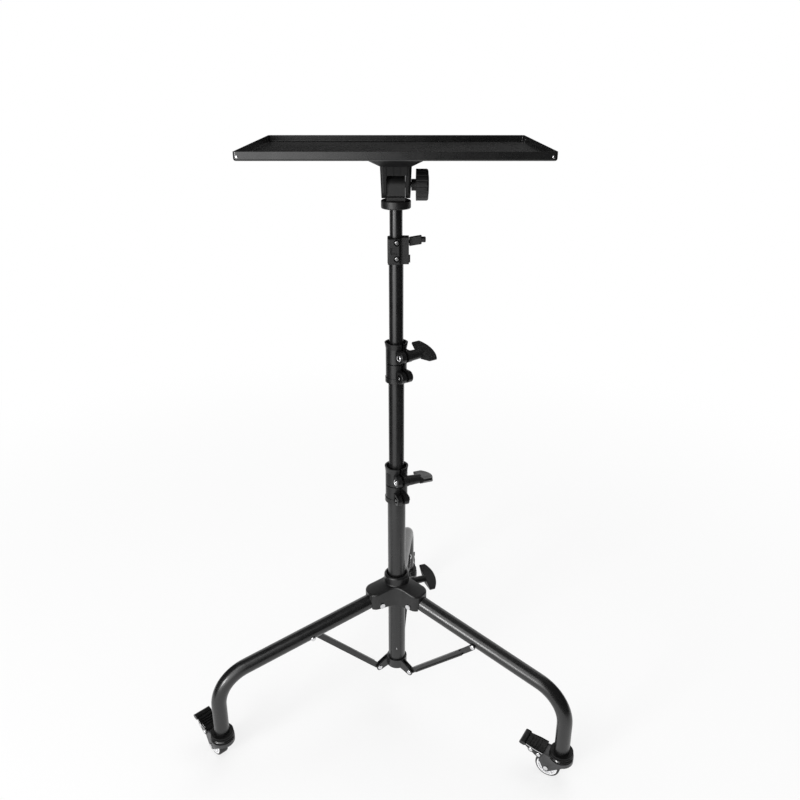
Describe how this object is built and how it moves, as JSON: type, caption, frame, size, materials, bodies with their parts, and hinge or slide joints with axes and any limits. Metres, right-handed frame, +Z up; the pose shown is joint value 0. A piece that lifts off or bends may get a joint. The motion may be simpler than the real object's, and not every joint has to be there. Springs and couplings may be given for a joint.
{
  "type": "portable projector stand",
  "caption": "Portable projector stand: shallow tray on a tilting head, telescopic mast with clamps, and folding bent-tube legs on braked swivel casters.",
  "frame": {"origin": "middle of the footprint's bounding box, on the floor", "axes": "+Z up along the mast, +X to the right of the tray seen from its front, +Y to the back"},
  "size_m": [0.6444, 0.6, 0.9948],
  "materials": {
    "black_powder_coat": "satin powder coat",
    "black_moulding": "fine moulded grain",
    "dark_pressing": "satin",
    "bright_steel": "nickel plated",
    "black_tyre": "smooth tread",
    "pale_disc": "gloss"
  },
  "bodies": {
    "hub": {"hub": "black_moulding", "leg_pin_left": "bright_steel", "leg_pin_right": "bright_steel", "leg_pin_rear": "bright_steel"},
    "lower_mast": {"lower_tube": "black_powder_coat", "lower_clamp": "black_moulding", "spreader_bracket": "black_powder_coat"},
    "third_mast": {"third_tube": "black_powder_coat", "middle_clamp": "black_moulding"},
    "second_mast": {"second_tube": "black_powder_coat", "top_clamp": "black_moulding"},
    "top_mast": {"top_tube": "black_powder_coat", "head_base": "black_moulding"},
    "head": {"head_yoke": "black_moulding", "tray": "black_powder_coat", "tilt_stud": "bright_steel"},
    "tilt_screw": {"tilt_knob": "black_moulding"},
    "lower_wing": {"lower_wing_screw": "black_moulding"},
    "middle_wing": {"middle_wing_screw": "black_moulding"},
    "lever": {"top_lever": "black_moulding"},
    "hub_screw": {"hub_knob": "black_moulding"},
    "leg_left": {"leg_left": "black_powder_coat", "caster_collar_left": "black_moulding"},
    "brace_left": {"brace_left": "black_powder_coat"},
    "caster_left": {"caster_fork_left": "dark_pressing", "caster_axle_left": "bright_steel"},
    "wheel_left": {"caster_tyre_left": "black_tyre", "caster_disc_left": "pale_disc"},
    "pedal_left": {"brake_pedal_left": "black_moulding"},
    "leg_right": {"leg_right": "black_powder_coat", "caster_collar_right": "black_moulding"},
    "brace_right": {"brace_right": "black_powder_coat"},
    "caster_right": {"caster_fork_right": "dark_pressing", "caster_axle_right": "bright_steel"},
    "wheel_right": {"caster_tyre_right": "black_tyre", "caster_disc_right": "pale_disc"},
    "pedal_right": {"brake_pedal_right": "black_moulding"},
    "leg_rear": {"leg_rear": "black_powder_coat", "caster_collar_rear": "black_moulding"},
    "brace_rear": {"brace_rear": "black_powder_coat"},
    "caster_rear": {"caster_fork_rear": "dark_pressing", "caster_axle_rear": "bright_steel"},
    "wheel_rear": {"caster_tyre_rear": "black_tyre", "caster_disc_rear": "pale_disc"},
    "pedal_rear": {"brake_pedal_rear": "black_moulding"}
  },
  "joints": [
    {"name": "mast_drop", "type": "slide", "parent": "hub", "child": "lower_mast", "axis": [0, 0, -1], "range_m": [0, 0.1102]},
    {"name": "third_tube_slide", "type": "slide", "parent": "lower_mast", "child": "third_mast", "axis": [0, 0, 1], "range_m": [-0.14, 0.15]},
    {"name": "second_tube_slide", "type": "slide", "parent": "third_mast", "child": "second_mast", "axis": [0, 0, 1], "range_m": [-0.113, 0.18]},
    {"name": "top_tube_slide", "type": "slide", "parent": "second_mast", "child": "top_mast", "axis": [0, 0, 1], "range_m": [-0.036, 0.2]},
    {"name": "tray_tilt", "type": "hinge", "parent": "top_mast", "child": "head", "pos_m": [0.03095, -0.0962, 0.93745], "axis": [1, 0, 0], "range_deg": [-30, 30]},
    {"name": "tilt_knob_turn", "type": "hinge", "parent": "head", "child": "tilt_screw", "pos_m": [0.05935, -0.0962, 0.93745], "axis": [1, 0, 0], "continuous": true},
    {"name": "lower_wing_turn", "type": "hinge", "parent": "lower_mast", "child": "lower_wing", "pos_m": [0.04945, -0.11524, 0.47095], "axis": [0.9336, 0.3584, 0], "continuous": true},
    {"name": "middle_wing_turn", "type": "hinge", "parent": "third_mast", "child": "middle_wing", "pos_m": [0.05228, -0.10778, 0.68395], "axis": [0.809, 0.5878, 0], "continuous": true},
    {"name": "lever_turn", "type": "hinge", "parent": "second_mast", "child": "lever", "pos_m": [0.04975, -0.0962, 0.85695], "axis": [1, 0, 0], "continuous": true},
    {"name": "hub_knob_turn", "type": "hinge", "parent": "hub", "child": "hub_screw", "pos_m": [0.06186, -0.08464, 0.25236], "axis": [0.9367, 0.3502, 0], "continuous": true},
    {"name": "leg_fold_left", "type": "hinge", "parent": "hub", "child": "leg_left", "pos_m": [-0.00189, -0.11213, 0.23186], "axis": [0.4365, -0.8997, 0], "range_deg": [0, 40]},
    {"name": "brace_turn_left", "type": "hinge", "parent": "lower_mast", "child": "brace_left", "pos_m": [0.00081, -0.11083, 0.08005], "axis": [-0.4365, 0.8997, 0], "range_deg": [0, 19.81]},
    {"name": "caster_swivel_left", "type": "hinge", "parent": "leg_left", "child": "caster_left", "pos_m": [-0.26388, -0.23924, 0.047], "axis": [0, 0, 1], "continuous": true},
    {"name": "wheel_spin_left", "type": "hinge", "parent": "caster_left", "child": "wheel_left", "pos_m": [-0.27778, -0.22485, 0.021], "axis": [-0.7193, -0.6947, 0], "continuous": true},
    {"name": "brake_press_left", "type": "hinge", "parent": "caster_left", "child": "pedal_left", "pos_m": [-0.2875, -0.21478, 0.044], "axis": [-0.7193, -0.6947, 0], "range_deg": [0, 14]},
    {"name": "leg_fold_right", "type": "hinge", "parent": "hub", "child": "leg_right", "pos_m": [0.06117, -0.11668, 0.23186], "axis": [0.5609, 0.8279, 0], "range_deg": [0, 40]},
    {"name": "brace_turn_right", "type": "hinge", "parent": "lower_mast", "child": "brace_right", "pos_m": [0.05868, -0.11499, 0.08005], "axis": [-0.5609, -0.8279, 0], "range_deg": [0, 19.81]},
    {"name": "caster_swivel_right", "type": "hinge", "parent": "leg_right", "child": "caster_right", "pos_m": [0.30224, -0.28002, 0.047], "axis": [0, 0, 1], "continuous": true},
    {"name": "wheel_spin_right", "type": "hinge", "parent": "caster_right", "child": "wheel_right", "pos_m": [0.28519, -0.26957, 0.021], "axis": [-0.5225, -0.8526, 0], "continuous": true},
    {"name": "brake_press_right", "type": "hinge", "parent": "caster_right", "child": "pedal_right", "pos_m": [0.27325, -0.26225, 0.044], "axis": [-0.5225, -0.8526, 0], "range_deg": [0, 14]},
    {"name": "leg_fold_rear", "type": "hinge", "parent": "hub", "child": "leg_rear", "pos_m": [0.03357, -0.0598, 0.23186], "axis": [-0.9974, 0.0718, 0], "range_deg": [0, 40]},
    {"name": "brace_turn_rear", "type": "hinge", "parent": "lower_mast", "child": "brace_rear", "pos_m": [0.03336, -0.06279, 0.08005], "axis": [0.9974, -0.0718, 0], "range_deg": [0, 19.81]},
    {"name": "caster_swivel_rear", "type": "hinge", "parent": "leg_rear", "child": "caster_rear", "pos_m": [0.05449, 0.23065, 0.047], "axis": [0, 0, 1], "continuous": true},
    {"name": "wheel_spin_rear", "type": "hinge", "parent": "caster_rear", "child": "wheel_rear", "pos_m": [0.05519, 0.25064, 0.021], "axis": [-0.9994, 0.0349, 0], "continuous": true},
    {"name": "brake_press_rear", "type": "hinge", "parent": "caster_rear", "child": "pedal_rear", "pos_m": [0.05568, 0.26463, 0.044], "axis": [-0.9994, 0.0349, 0], "range_deg": [0, 14]}
  ],
  "couplings": [
    {"joint": "leg_fold_left", "follows": "mast_drop", "rad_per_m": 6.3351},
    {"joint": "brace_turn_left", "follows": "mast_drop", "rad_per_m": 3.1364},
    {"joint": "leg_fold_right", "follows": "mast_drop", "rad_per_m": 6.3351},
    {"joint": "brace_turn_right", "follows": "mast_drop", "rad_per_m": 3.1364},
    {"joint": "leg_fold_rear", "follows": "mast_drop", "rad_per_m": 6.3351},
    {"joint": "brace_turn_rear", "follows": "mast_drop", "rad_per_m": 3.1364}
  ]
}
